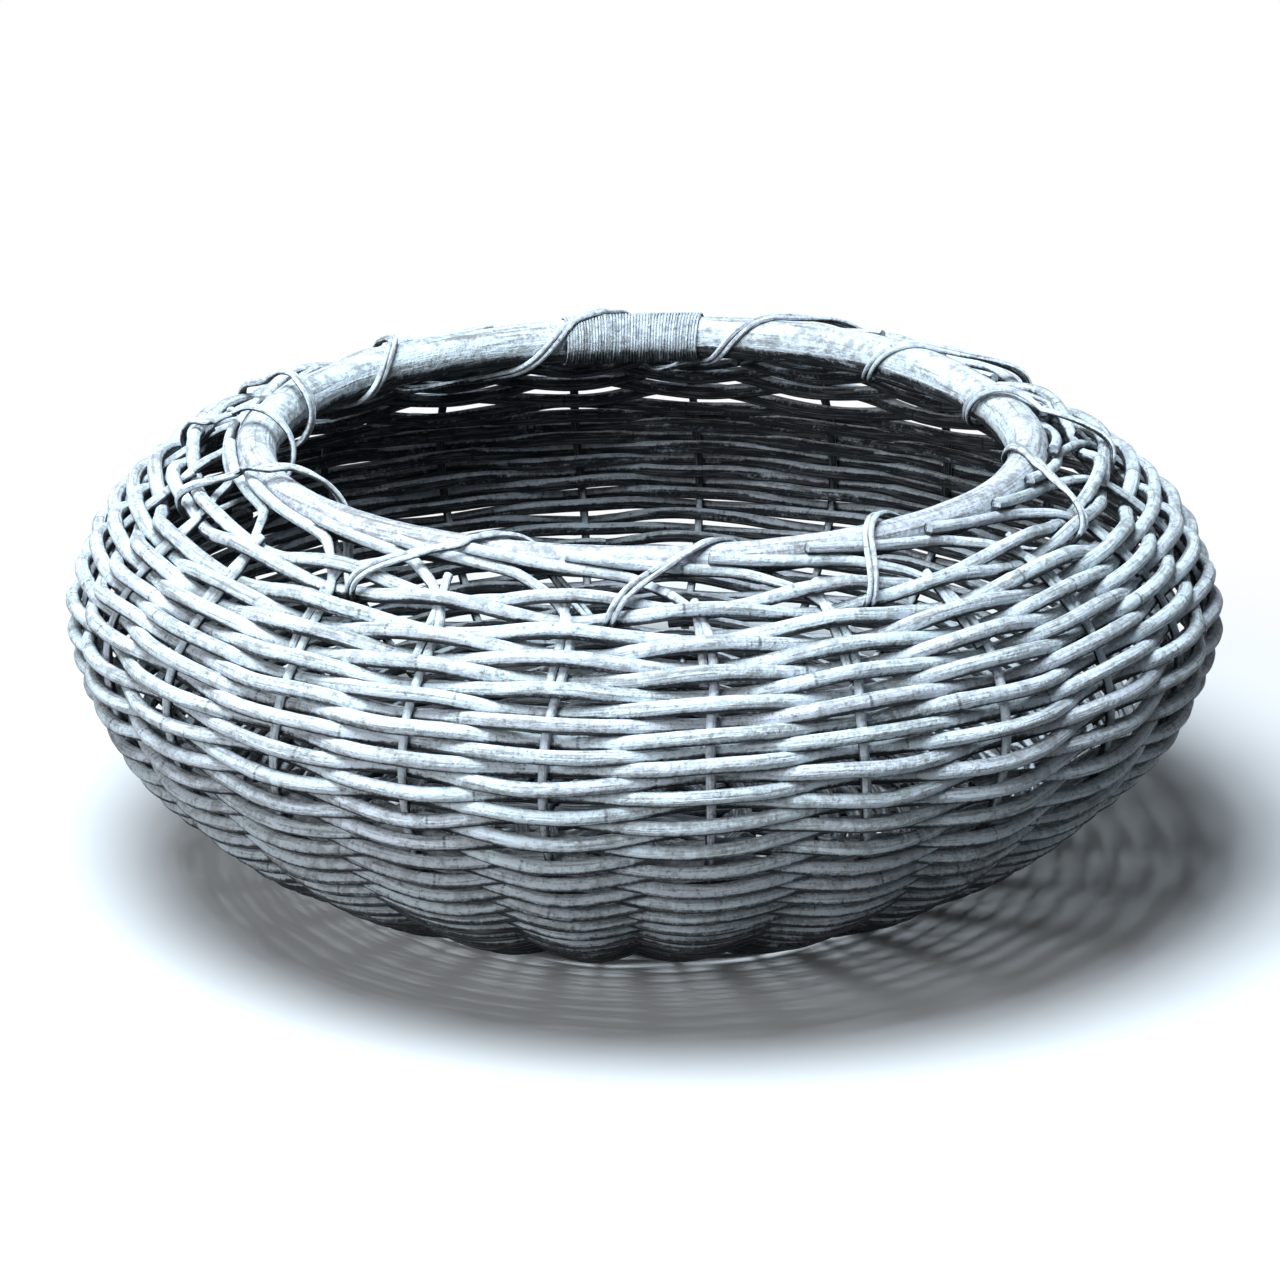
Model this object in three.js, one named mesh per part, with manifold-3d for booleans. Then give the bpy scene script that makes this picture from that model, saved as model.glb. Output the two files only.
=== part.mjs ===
// A round rattan basket with a wide belly and a drawn-in mouth, in millimetres, +Z up.
// The origin is on the floor, on the basket's axis.
//
// Twelve base rods cross at the centre and run up both sides, so each gives two uprights. Bye-stakes stand
// beside the uprights in the upper wall. Canes are woven in and out of them, two at a time, each taking the
// uprights that the other leaves. At the top the uprights lean over to the left, and two lashing canes
// wind round a thick rim pole, these ends and the top band of weaving. The pole's scarf joint is whipped.
import * as THREE from "three";
import { mergeVertices } from "three/addons/utils/BufferGeometryUtils.js";
import Module from "manifold-3d";

const wasm = await Module();
wasm.setup();

// Shape of the wall, measured to the middle of the uprights.
const bellyRadius = 291;
const bellyHeight = 150;
const baseRadius = 148;
const baseDome = 8; // the middle of the base stands this much above its edge
const lowerSweep = 70; // how far the wall runs outwards before it turns up
const lowerRise = 15; // degrees above level at which it leaves the base
const lowerBulge = 66; // length of the curve's pull below the belly
const upperBulge = 46; // and above it
const shoulderRun = 9; // how far the curve's pull at the border runs outwards
const shoulderDrop = 1.8; // and down
const borderAboveRim = 1; // the uprights' ends stand this much above the rim pole's middle

// The rim pole and its joint.
const rimRadius = 199.5;
const rimHeight = 231;
const poleDiameter = 24;
const scarfLength = 56;
const scarfKerf = 0.6;

// The canes.
const rodDiameter = 5;
const byeStakeDiameter = 4.6;
const lowerCaneDiameter = 5;
const upperCaneDiameter = 6.7;
const bandCaneDiameter = 7.4;
const footCaneDiameter = 8;
const baseCaneDiameter = 6;
const lashingDiameter = 3;
const whippingWidth = 3.2;
const whippingThickness = 0.7;

// How they are laid.
const pairsPerSide = 3; // pairs of rods that leave each side of the crossing
const canesPerStrand = 6; // each of the two strands of the wall is this many canes, end to end
const clearance = 0.4; // between canes that bear on each other
const rowGap = 0.7;
const baseRowGap = 1.8;
const footGap = 1.2; // between the foot and the first row of the wall
const jointGap = 1.2; // between the ends of two canes
const whippingGap = 0.6;
const footFlat = 0.8; // worn off the foot canes where they stand
const byeStakeStart = 52; // above the belly, along the wall
const byeStakeEnd = 6; // above the middle of the band
const asideRun = 24; // how far along the wall an upright takes to step aside for its bye-stake
const borderReach = 1.4; // how far the uprights' ends reach, in spaces between uprights
const borderGap = 1.1; // between one end and the next, where they cross
const pairStart = 46; // distance from the axis where the rods lie in pairs
const pairEnd = 70; // where the pairs open
const spokeStart = 80; // where the rods are evenly spread
// Where each turn of the lashing goes through the wall, counted in spaces between uprights.
const lashingHoles = [0.2, 2.2, 4.1, 6, 8.1, 10, 11.8, 13.1, 15.2, 17.8, 19.8, 22.2];
const lashingSweep = 1; // spaces that a turn crosses on its way over the pole
const lashingGap = 1.3; // between the two lashing canes
const lashingClearance = 0.7; // between them and what they bind
const doorwayGap = 0.8; // above and below them where they go through the wall
const whippingStart = 5.3;
const whippingEnd = 6.8;

// How finely the round shapes are cut.
const lowerWallSteps = 6;
const upperWallSteps = 5;
const caneSides = 4;
const footSides = 6;
const poleSides = 10;
const poleSteps = 40;
const whippingSteps = 8;
const poleBeltSides = 8;
const bandBeltSides = 6;

const uprightCount = 8 * pairsPerSide;
const bay = (2 * Math.PI) / uprightCount; // the angle between two uprights
const firstUpright = bay / 2;
const rodRadius = rodDiameter / 2;
const poleRadius = poleDiameter / 2;
const lashingRadius = lashingDiameter / 2;
const bandRadius = bandCaneDiameter / 2;
const degrees = Math.PI / 180;

// How far a cane swings to each side at a place, to pass groups of uprights that are 2 * halfGroup wide
// between centres. The cane runs straight from group to group, so it sags inwards from the round wall.
function swing(caneRadius, { place, facing }, groups, halfGroup) {
  const spacing = 2 * place.x * Math.sin(Math.PI / groups);
  const sag = (facing.x * halfGroup * (spacing - halfGroup)) / (2 * place.x);
  const needed = rodRadius + caneRadius + clearance + sag;
  const share = 1 - (2 * halfGroup) / spacing;
  return needed / Math.sqrt(share ** 2 - (2 * needed / spacing) ** 2);
}

// The wall's profile: out along the base, up to the belly and in to the border.
const point = (r, z) => new THREE.Vector2(r, z);
const footPlace = { place: point(baseRadius, 0), facing: point(0, -1) };
const footSwing = swing(footCaneDiameter / 2, footPlace, uprightCount, 0);
const rodHeight = footSwing + footCaneDiameter / 2 - footFlat;
const whippingInner = (poleRadius + clearance) / Math.cos(Math.PI / whippingSteps);
const whippingRadius = whippingInner + whippingThickness / 2;
const whippingOuter = whippingInner + whippingThickness;
const borderRadius = rimRadius + whippingOuter + clearance + rodRadius;
const borderHeight = rimHeight + borderAboveRim;
const baseEdge = point(baseRadius, rodHeight);
const belly = point(bellyRadius, bellyHeight);
const border = point(borderRadius, borderHeight);
const leaving = point(Math.cos(lowerRise * degrees), Math.sin(lowerRise * degrees));
const shoulder = point(shoulderRun, -shoulderDrop).add(border);
const lowerWall = new THREE.CubicBezierCurve(
  baseEdge,
  leaving.multiplyScalar(lowerSweep).add(baseEdge),
  point(bellyRadius, bellyHeight - lowerBulge),
  belly,
);
const upperWall = new THREE.CubicBezierCurve(
  belly,
  point(bellyRadius, bellyHeight + upperBulge),
  shoulder,
  border,
);

// Uprights run straight from one of these stations to the next, and the weave follows them.
const stations = [
  point(0, rodHeight + baseDome),
  ...lowerWall.getSpacedPoints(lowerWallSteps),
  ...upperWall.getSpacedPoints(upperWallSteps).slice(1),
];
const profile = new THREE.CurvePath();
stations.slice(1).forEach((station, i) => profile.add(new THREE.LineCurve(stations[i], station)));
const stationAlongs = profile.getCurveLengths();
const profileLength = stationAlongs.at(-1);
const edgeAlong = stationAlongs[0];
const bellyAlong = stationAlongs[lowerWallSteps];

// Where a cane that lies along the wall is bent, between two places on it, and at others of its own.
function bendsBetween(from, to, ...others) {
  const between = [...stationAlongs, ...others].filter((along) => along > from && along < to);
  const bends = [from, ...between.sort((a, b) => a - b), to];
  return bends.filter((along, i) => i === 0 || along - bends[i - 1] > clearance);
}

// A place on the wall: its distance from the axis and height, and the direction that faces out.
function wallAt(along, out = 0) {
  const here = profile.getPoint(along / profileLength);
  const step = rodDiameter / profileLength;
  const ahead = profile.getPoint(Math.min(1, along / profileLength + step));
  const behind = profile.getPoint(Math.max(0, along / profileLength - step));
  const forward = ahead.sub(behind).normalize();
  const facing = point(forward.y, -forward.x);
  return { place: here.addScaledVector(facing, out), facing };
}

// That place turned to an angle about the axis, as a point and a facing for a cane's route.
function onWall(angle, along, out = 0) {
  const { place, facing } = wallAt(along, out);
  const turned = (p) => new THREE.Vector3(p.x * Math.cos(angle), p.x * Math.sin(angle), p.y);
  return { at: turned(place), facing: turned(facing) };
}

// A route through exactly the stops it is given, with the section turned to each stop's facing.
class Route extends THREE.Curve {
  constructor(stops) {
    super();
    this.stops = stops;
  }

  getPoint(t, target = new THREE.Vector3()) {
    const place = t * (this.stops.length - 1);
    const i = Math.min(Math.floor(place), this.stops.length - 2);
    return target.lerpVectors(this.stops[i].at, this.stops[i + 1].at, place - i);
  }

  getPointAt(u, target) {
    return this.getPoint(u, target);
  }

  computeFrenetFrames(steps) {
    const frames = { tangents: [], normals: [], binormals: [] };
    for (let i = 0; i <= steps; i++) {
      const next = this.stops[Math.min(i + 1, steps)].at;
      const last = this.stops[Math.max(i - 1, 0)].at;
      const tangent = new THREE.Vector3().subVectors(next, last).normalize();
      const { facing } = this.stops[i];
      const normal = facing.clone().addScaledVector(tangent, -facing.dot(tangent)).normalize();
      frames.tangents.push(tangent);
      frames.normals.push(normal);
      frames.binormals.push(new THREE.Vector3().crossVectors(tangent, normal));
    }
    return frames;
  }
}

function roundSection(diameter, sides) {
  const corners = [];
  for (let i = 0; i < sides; i++) {
    const turn = (2 * Math.PI * i) / sides;
    corners.push(point((diameter / 2) * Math.cos(turn), (diameter / 2) * Math.sin(turn)));
  }
  return new THREE.Shape(corners);
}

function flatSection(thickness, width) {
  const [x, y] = [thickness / 2, width / 2];
  return new THREE.Shape([point(x, -y), point(x, y), point(-x, y), point(-x, -y)]);
}

function caneGeometry(stops, section) {
  const options = { steps: stops.length - 1, bevelEnabled: false, extrudePath: new Route(stops) };
  return new THREE.ExtrudeGeometry(section, options);
}

function solidOf(geometry) {
  const bare = geometry.clone();
  bare.deleteAttribute("normal");
  bare.deleteAttribute("uv");
  const merged = mergeVertices(bare, 1e-4);
  const vertProperties = new Float32Array(merged.attributes.position.array);
  const triVerts = new Uint32Array(merged.index.array);
  return new wasm.Manifold(new wasm.Mesh({ numProp: 3, vertProperties, triVerts }));
}

function geometryOf(solid) {
  const { vertProperties, triVerts } = solid.getMesh();
  const geometry = new THREE.BufferGeometry();
  geometry.setAttribute("position", new THREE.BufferAttribute(vertProperties, 3));
  geometry.setIndex(new THREE.BufferAttribute(triVerts, 1));
  geometry.computeVertexNormals();
  return geometry;
}

function cutAway(geometry, cutter) {
  return geometryOf(solidOf(geometry).subtract(solidOf(cutter)));
}

// The least distance between the surfaces of two turns of one winding.
function reportLeastGap(name, stops, stopsPerTurn, thickness) {
  let least = Infinity;
  stops.forEach((one, i) => {
    for (let j = i + Math.ceil(stopsPerTurn / 2); j < stops.length; j++) {
      least = Math.min(least, one.at.distanceTo(stops[j].at) - thickness);
    }
  });
  console.log(`${name}: the least gap between its turns is ${least.toFixed(2)} mm`);
}

const rattan = (color, roughness) => new THREE.MeshStandardMaterial({ color, roughness, metalness: 0 });
const weaveMaterial = rattan(0xb4bcc4, 0.8);
const uprightMaterial = rattan(0xa7adb0, 0.8);
const poleMaterial = rattan(0xc3cbd2, 0.7);
const lashingMaterial = rattan(0x9aa09f, 0.75);
const baseMaterial = rattan(0x8f9699, 0.85);

const basket = new THREE.Group();

function addCane(name, stops, section, material) {
  const mesh = new THREE.Mesh(caneGeometry(stops, section), material);
  mesh.name = name;
  basket.add(mesh);
  return mesh;
}

const numbered = (name, i) => `${name}_${String(i).padStart(2, "0")}`;

// The band of two rounds that closes the weaving. The lashing goes through the wall at the doorway, which is
// measured down from the band's middle, and the last row of the wall lies below that.
const bandPitch = bandCaneDiameter + rowGap;
const tailStart = bandPitch / 2 + bandRadius + rodRadius; // above the band's middle, where the ends lean over
const tailRise = rodDiameter + borderGap; // in each space, so that an end passes over the next upright's bend
const bandAlong = profileLength - tailStart - clearance - borderReach * tailRise;
const groupHalf = (rodRadius + byeStakeDiameter / 2 + clearance) / 2;
const bandSwing = swing(bandRadius, wallAt(bandAlong), uprightCount, groupHalf);
const doorwayCorner = Math.cos(Math.PI / bandBeltSides);
const doorway = bandPitch / 2 + (bandRadius + doorwayGap + lashingRadius) / doorwayCorner;
const topRow = bandAlong - doorway - lashingRadius - doorwayGap - upperCaneDiameter / 2;

// Uprights step aside above the belly, to make room for the bye-stakes.
const byeStakeAlong = bellyAlong + byeStakeStart;

function stepAside(along) {
  const share = THREE.MathUtils.clamp((along - byeStakeAlong) / asideRun + 1, 0, 1);
  return (share * groupHalf) / wallAt(along).place.x;
}

// An upright, from the spread spokes of the base to its end, which leans to the left under the rim pole.
function uprightStops(angle) {
  const top = bandAlong + tailStart;
  const bends = bendsBetween(spokeStart, top - rodRadius, byeStakeAlong - asideRun, byeStakeAlong);
  const stops = bends.map((along) => onWall(angle + stepAside(along), along));
  const aside = stepAside(top);
  for (const reach of [0, borderReach / 2, borderReach]) {
    stops.push(onWall(angle - reach * bay + aside / 2, top + clearance + reach * tailRise));
  }
  return stops;
}

// One half of a base rod, from the crossing to the spread spokes, for a rod that lies that number of
// spacings to the left of the side's middle. Near the crossing, rods of the two directions lie in two layers.
const rodsPerLayer = 2 * pairsPerSide;
const pairAngle = 2 * bay;
const rodPitch = rodDiameter + clearance;
const crossingPitch = rodPitch / Math.cos((pairAngle * (pairsPerSide - 1)) / 2);
const crossingHalf = (crossingPitch * rodsPerLayer) / 2;

function spokeStops(side, number, layer) {
  const pair = Math.round(number / 2);
  const pairSide = side + pair * pairAngle;
  const beside = (number - 2 * pair) * rodPitch;
  const place = (distance, angle, offset, lift) => {
    const { at, facing } = onWall(angle, distance);
    const across = new THREE.Vector3(-Math.sin(angle), Math.cos(angle), 0);
    return { at: at.addScaledVector(across, offset).add(new THREE.Vector3(0, 0, lift)), facing };
  };
  return [
    place(crossingHalf, side, number * crossingPitch, (layer * rodPitch) / 2),
    place(pairStart, pairSide, beside, 0),
    place(pairEnd, pairSide, beside, 0),
  ];
}

let rodNumber = 0;
for (const layer of [-1, 1]) {
  const side = layer > 0 ? 0 : Math.PI / 2;
  for (let i = 0; i < rodsPerLayer; i++) {
    const number = i - (rodsPerLayer - 1) / 2;
    const farSide = side + Math.PI;
    const near = [...spokeStops(side, number, layer), ...uprightStops(side + number * bay)];
    const far = [...spokeStops(farSide, -number, layer), ...uprightStops(farSide - number * bay)];
    const section = roundSection(rodDiameter, caneSides);
    addCane(numbered("base_rod", ++rodNumber), [...near.reverse(), ...far], section, uprightMaterial);
  }
}

// Bye-stakes, to the left of the uprights.
const byeBends = bendsBetween(byeStakeAlong, bandAlong + byeStakeEnd);
const byeStops = byeBends.map((along) => onWall(-groupHalf / wallAt(along).place.x, along));
for (let i = 0; i < uprightCount; i++) {
  const section = roundSection(byeStakeDiameter, caneSides);
  const stake = addCane(numbered("bye_stake", i + 1), byeStops, section, uprightMaterial);
  stake.rotation.z = firstUpright + i * bay;
}

// Cuts a cane back a little at one end, to leave the gap to the next.
function trimEnd(stops, end, inner) {
  const from = stops[end].at;
  const length = from.distanceTo(stops[inner].at);
  stops[end].at = from.clone().lerp(stops[inner].at, jointGap / 2 / length);
}

// Single uprights start half a space from the X axis, and the pairs of the base lie on it.
const firstGroup = (groups) => (groups === uprightCount ? firstUpright : 0);

// A cane that passes one group of uprights on one side and the next on the other. It starts and ends at the
// groups first and last, along(i) is its place on the wall at group i, and halfGroup(along) is half the
// distance between the uprights of one group.
function weaveStops({ first, last, strand, along, diameter, groups = uprightCount, halfGroup = () => 0 }) {
  const stops = [];
  const space = (2 * Math.PI) / groups;
  for (let i = first; i <= last; i++) {
    const where = along(i);
    const reach = swing(diameter / 2, wallAt(where), groups, halfGroup(where));
    const outside = (i + strand) % 2 === 0 ? 1 : -1;
    stops.push(onWall(firstGroup(groups) + i * space, where, outside * reach));
  }
  trimEnd(stops, 0, 1);
  trimEnd(stops, stops.length - 1, stops.length - 2);
  return stops;
}

// The wall's rows: their pitch grows with the canes, and fills the height exactly.
const firstRow = edgeAlong + footCaneDiameter / 2 + footGap + lowerCaneDiameter / 2;
const lowerPitch = lowerCaneDiameter + rowGap;
const upperPitch = upperCaneDiameter + rowGap;
const meanPitch = (lowerPitch + upperPitch) / 2;
const rowCount = Math.floor((topRow - firstRow) / meanPitch);
const pitchScale = (topRow - firstRow) / (rowCount * meanPitch);

function rowAlong(row) {
  const growth = (upperPitch - lowerPitch) / (2 * rowCount);
  return firstRow + pitchScale * (lowerPitch * row + growth * row ** 2);
}

const stakesBeside = (along) => (along > byeStakeAlong - asideRun - upperPitch ? groupHalf : 0);

// Two strands chase each other up the wall, half a turn apart. Strand 0 takes the even uprights outside.
function strandRange(strand, rounds, groups) {
  const first = strand === 0 ? 1 : groups / 2;
  return [first, first + 2 * Math.floor((rounds * groups) / 4 - 0.5)];
}

const letter = (strand) => ["a", "b"][strand];

for (const strand of [0, 1]) {
  const [start, end] = strandRange(strand, rowCount, uprightCount);
  const caneLength = 2 * Math.round((end - start) / canesPerStrand / 2);
  const along = (i) => rowAlong((2 * i) / uprightCount - strand);
  for (let n = 0; n < canesPerStrand; n++) {
    const first = start + n * caneLength;
    const last = n === canesPerStrand - 1 ? end : first + caneLength;
    const diameter = THREE.MathUtils.lerp(lowerCaneDiameter, upperCaneDiameter, (n + 0.5) / canesPerStrand);
    const stops = weaveStops({ first, last, strand, along, diameter, halfGroup: stakesBeside });
    const name = numbered(`wall_weaver_${letter(strand)}`, n + 1);
    addCane(name, stops, roundSection(diameter, caneSides), weaveMaterial);
  }
}

// A cane laid in one round, which meets itself behind an upright.
function addRound(name, where, strand, first, diameter, sides, material, halfGroup) {
  const last = first + uprightCount;
  const stops = weaveStops({ first, last, strand, along: () => where, diameter, halfGroup });
  return addCane(name, stops, roundSection(diameter, sides), material);
}

function bandOf(name, row, strand, first) {
  const where = bandAlong + row * bandPitch;
  addRound(name, where, strand, first, bandCaneDiameter, caneSides, weaveMaterial, () => groupHalf);
}

bandOf("border_weaver_lower", -0.5, 0, 5);
bandOf("border_weaver_upper", 0.5, 1, 12);

// The foot: two thick rounds at the edge of the base, worn flat where they stand.
const footPitch = footCaneDiameter + clearance;
const floorBlock = new THREE.BoxGeometry(4 * bellyRadius, 4 * bellyRadius, bellyHeight);
floorBlock.translate(0, 0, -bellyHeight / 2);
for (const [name, row, first] of [["foot_weaver_inner", 1, 7], ["foot_weaver_outer", 0, 18]]) {
  const where = edgeAlong - row * footPitch;
  const foot = addRound(name, where, 1 - row, first, footCaneDiameter, footSides, baseMaterial, () => 0);
  foot.geometry = cutAway(foot.geometry, floorBlock);
}

// The base: two canes over the pairs of rods near the middle, and two over the single rods.
const basePitch = baseCaneDiameter + baseRowGap;
const baseEnd = edgeAlong - footPitch - footCaneDiameter / 2 - clearance - baseCaneDiameter / 2;

function addBaseCanes(name, from, to, groups, half) {
  for (const strand of [0, 1]) {
    const [first, last] = strandRange(strand, (to - from) / basePitch, groups);
    const along = (i) => from + basePitch * ((2 * i) / groups - strand);
    const cane = { diameter: baseCaneDiameter, groups, halfGroup: () => half };
    const stops = weaveStops({ first, last, strand, along, ...cane });
    const section = roundSection(baseCaneDiameter, caneSides);
    addCane(`${name}_${letter(strand)}`, stops, section, baseMaterial);
  }
}

addBaseCanes("base_weaver_inner", pairStart, pairEnd, uprightCount / 2, rodPitch / 2);
addBaseCanes("base_weaver_outer", spokeStart, baseEnd, uprightCount, 0);

// The rim pole, bent round to a scarf joint at the back.
const jointAngle = ((whippingStart + whippingEnd) / 2) * bay;
const poleRing = new THREE.TorusGeometry(rimRadius, poleRadius, poleSides, poleSteps);
const kerf = new THREE.BoxGeometry(3 * scarfLength, scarfKerf, 3 * poleDiameter);
kerf.rotateZ(Math.atan(poleDiameter / scarfLength) + jointAngle + Math.PI / 2);
kerf.translate(rimRadius * Math.cos(jointAngle), rimRadius * Math.sin(jointAngle), 0);
const pole = new THREE.Mesh(cutAway(poleRing, kerf), poleMaterial);
pole.name = "rim_pole";
pole.position.z = rimHeight;
basket.add(pole);

// The whipping, a flat cane wound round the joint.
const poleCentre = point(rimRadius, rimHeight);
const turnedTo = (angle, p) => new THREE.Vector3(p.x * Math.cos(angle), p.x * Math.sin(angle), p.y);
const whippingPitch = (whippingWidth + whippingGap) / (1 - whippingRadius / rimRadius);
const whippingArc = (whippingEnd - whippingStart) * bay * rimRadius;
const whippingTurns = Math.floor((whippingArc - whippingWidth) / whippingPitch);
const whippingStops = [];
for (let i = 0; i <= whippingTurns * whippingSteps; i++) {
  const turn = i / whippingSteps;
  const angle = jointAngle + ((turn - whippingTurns / 2) * whippingPitch) / rimRadius;
  const outwards = point(Math.cos(2 * Math.PI * turn), Math.sin(2 * Math.PI * turn));
  const place = poleCentre.clone().addScaledVector(outwards, whippingRadius);
  whippingStops.push({ at: turnedTo(angle, place), facing: turnedTo(angle, outwards) });
}
addCane("joint_whipping", whippingStops, flatSection(whippingThickness, whippingWidth), lashingMaterial);
reportLeastGap("joint_whipping", whippingStops, whippingSteps, whippingWidth);

// The outline of points in the plane of the wall's profile, anticlockwise.
function outlineOf(points) {
  const sorted = [...points].sort((p, q) => p.x - q.x || p.y - q.y);
  const turnsLeft = (p, q, r) => q.clone().sub(p).cross(r.clone().sub(q)) > 1e-6;
  const chain = (list) => {
    const kept = [];
    for (const p of list) {
      while (kept.length > 1 && !turnsLeft(kept.at(-2), kept.at(-1), p)) kept.pop();
      kept.push(p);
    }
    return kept.slice(0, -1);
  };
  return [...chain(sorted), ...chain(sorted.reverse())];
}

// Points round a circle that a lashing is pulled over, so that the straight runs between them clear it.
function beltPoints(centre, radius, sides, tilt) {
  const corner = (radius + lashingRadius) / Math.cos(Math.PI / sides);
  return Array.from({ length: sides }, (_, i) => {
    const turn = tilt + (2 * Math.PI * (i + 0.5)) / sides;
    return point(centre.x + corner * Math.cos(turn), centre.y + corner * Math.sin(turn));
  });
}

// A lashing's path in the profile's plane: round the band, the uprights' ends and the pole. It starts inside
// the wall at the doorway, goes out through it and over the pole, and comes down inside.
const band = wallAt(bandAlong);
const bandTilt = band.facing.angle();
const upTheWall = point(-band.facing.y, band.facing.x);

function lashingBelt(poleReach) {
  const points = [
    ...beltPoints(poleCentre, poleReach, poleBeltSides, bandTilt),
    ...beltPoints(border, rodRadius + lashingClearance, bandBeltSides, bandTilt),
  ];
  for (const row of [-1, 1]) {
    for (const out of [-bandSwing, bandSwing]) {
      const gap = row < 0 ? doorwayGap : lashingClearance;
      const { place } = wallAt(bandAlong + (row * bandPitch) / 2, out);
      points.push(...beltPoints(place, bandRadius + gap, bandBeltSides, bandTilt));
    }
  }
  const outline = outlineOf(points);
  const heights = outline.map((p) => p.dot(upTheWall));
  const lowest = Math.min(...heights) + clearance;
  const corners = outline.filter((p, i) => heights[i] < lowest);
  corners.sort((p, q) => p.dot(band.facing) - q.dot(band.facing));
  const inner = outline.indexOf(corners[0]);
  const path = [...outline.slice(inner), ...outline.slice(0, inner)];
  const outer = path.indexOf(corners.at(-1));
  const last = path.findLastIndex((p) => p.distanceTo(poleCentre) < poleDiameter);
  return { path, outer, last };
}

const poleSag = rimRadius * (1 - Math.cos(Math.PI / poleSteps));
const plainBelt = lashingBelt(poleRadius + poleSag + lashingClearance);
const raisedBelt = lashingBelt(whippingOuter + lashingClearance);

// The stops of one turn. Outside it slants over the pole. The stops after the pole's come first, because it
// reaches them inside the wall, on its way to this turn's doorway.
function lashingTurn(hole) {
  const raised = hole + lashingSweep > whippingStart && hole < whippingEnd;
  const { path, outer, last } = raised ? raisedBelt : plainBelt;
  const centre = poleCentre.clone().lerp(band.place, 0.5);
  const lengths = path.map((p, i) => (i > outer && i <= last ? p.distanceTo(path[i - 1]) : 0));
  const whole = lengths.reduce((sum, length) => sum + length, 0);
  let gone = 0;
  const stops = path.map((p, i) => {
    gone += lengths[i];
    const angle = (hole + (i > last ? 0 : (lashingSweep * gone) / whole)) * bay;
    const across = i > 0 && i <= outer ? new THREE.Vector3(-Math.sin(angle), Math.cos(angle), 0) : null;
    return { at: turnedTo(angle, p), facing: turnedTo(angle, p.clone().sub(centre).normalize()), across };
  });
  return { inside: stops.slice(last + 1), outside: stops.slice(0, last + 1) };
}

const lashingLine = [];
lashingHoles.forEach((hole, n) => {
  const { inside, outside } = lashingTurn(hole);
  if (n > 0) {
    const from = lashingLine.at(-1);
    const to = inside[0];
    const facing = from.facing.clone().add(to.facing).normalize();
    lashingLine.push({ at: from.at.clone().lerp(to.at, 0.5), facing }, ...inside);
  }
  lashingLine.push(...outside);
});

// The two lashing canes lie side by side along that line.
const lashingFrames = new Route(lashingLine).computeFrenetFrames(lashingLine.length - 1);
for (const strand of [0, 1]) {
  const aside = (strand - 0.5) * (lashingDiameter + lashingGap);
  const stops = lashingLine.map(({ at, facing, across }, i) => {
    const direction = across ?? lashingFrames.binormals[i];
    return { at: at.clone().addScaledVector(direction, aside), facing };
  });
  const name = `rim_lashing_${letter(strand)}`;
  addCane(name, stops, roundSection(lashingDiameter, caneSides), lashingMaterial);
  reportLeastGap(name, stops, plainBelt.path.length, lashingDiameter);
}

console.log(`The wall has ${rowCount} rows.`);

export default basket;
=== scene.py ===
"""A whitewashed rattan basket, cane by cane, on a plain pale floor. Every length is in metres."""

import math
from itertools import accumulate

import bpy
from mathutils import Matrix, Vector, kdtree, noise
from mathutils.bvhtree import BVHTree


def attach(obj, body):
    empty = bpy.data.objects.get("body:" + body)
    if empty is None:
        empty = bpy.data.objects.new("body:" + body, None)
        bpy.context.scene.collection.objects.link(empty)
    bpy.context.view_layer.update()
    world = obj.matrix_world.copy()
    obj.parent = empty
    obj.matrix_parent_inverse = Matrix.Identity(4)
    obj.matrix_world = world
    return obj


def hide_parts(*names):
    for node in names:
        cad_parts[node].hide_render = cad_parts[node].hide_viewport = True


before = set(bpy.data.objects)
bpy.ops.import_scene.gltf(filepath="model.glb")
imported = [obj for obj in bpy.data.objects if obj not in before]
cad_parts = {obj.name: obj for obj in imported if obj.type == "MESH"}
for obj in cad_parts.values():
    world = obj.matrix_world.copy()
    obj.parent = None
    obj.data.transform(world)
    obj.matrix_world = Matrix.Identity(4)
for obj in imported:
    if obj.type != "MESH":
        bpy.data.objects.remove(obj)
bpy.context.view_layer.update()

bl_info = {
    "name": "Rattan Basket",
    "version": (1, 0, 0),
    "blender": (4, 5, 0),
    "location": "3D View > Sidebar > Basket",
    "description": "Weaves a round rattan basket with a lashed rim pole",
    "category": "Object",
}

BODY = "root"
UPRIGHTS = 24
BAY = 2 * math.pi / UPRIGHTS
FIRST_UPRIGHT = BAY / 2
PAIRS_PER_SIDE = 3
CANES_PER_STRAND = 6
STRANDS = "ab"

# The turns of the lashing: where each goes through the wall, in spaces between uprights, the spaces that it
# crosses on its way up to the top of the rim pole, how far it stands off there, and how far below the
# border it goes through.
LASHING_TURNS = (
    (0.1, 0.80, 0.003, 0.000), (2.0, 0.70, 0.000, 0.000), (3.9, 0.60, 0.000, 0.016),
    (5.9, 0.50, 0.000, 0.024), (8.2, 0.55, 0.001, 0.024), (10.1, 0.60, 0.008, 0.000),
    (11.4, 0.60, 0.009, 0.000), (13.1, 0.80, 0.006, 0.000), (15.7, 0.95, 0.001, 0.000),
    (17.8, 0.85, 0.000, 0.000), (19.8, 0.45, 0.002, 0.000), (22.2, 0.80, 0.001, 0.000),
)


# Settings

def length(metres, description):
    return bpy.props.FloatProperty(
        description=description, default=metres, min=0.0, precision=4, unit="LENGTH"
    )


def amount(value, description):
    return bpy.props.FloatProperty(description=description, default=value)


def tint(colour, description):
    return bpy.props.FloatVectorProperty(
        description=description, default=colour, size=3, min=0.0, max=1.0, subtype="COLOR"
    )


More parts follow.
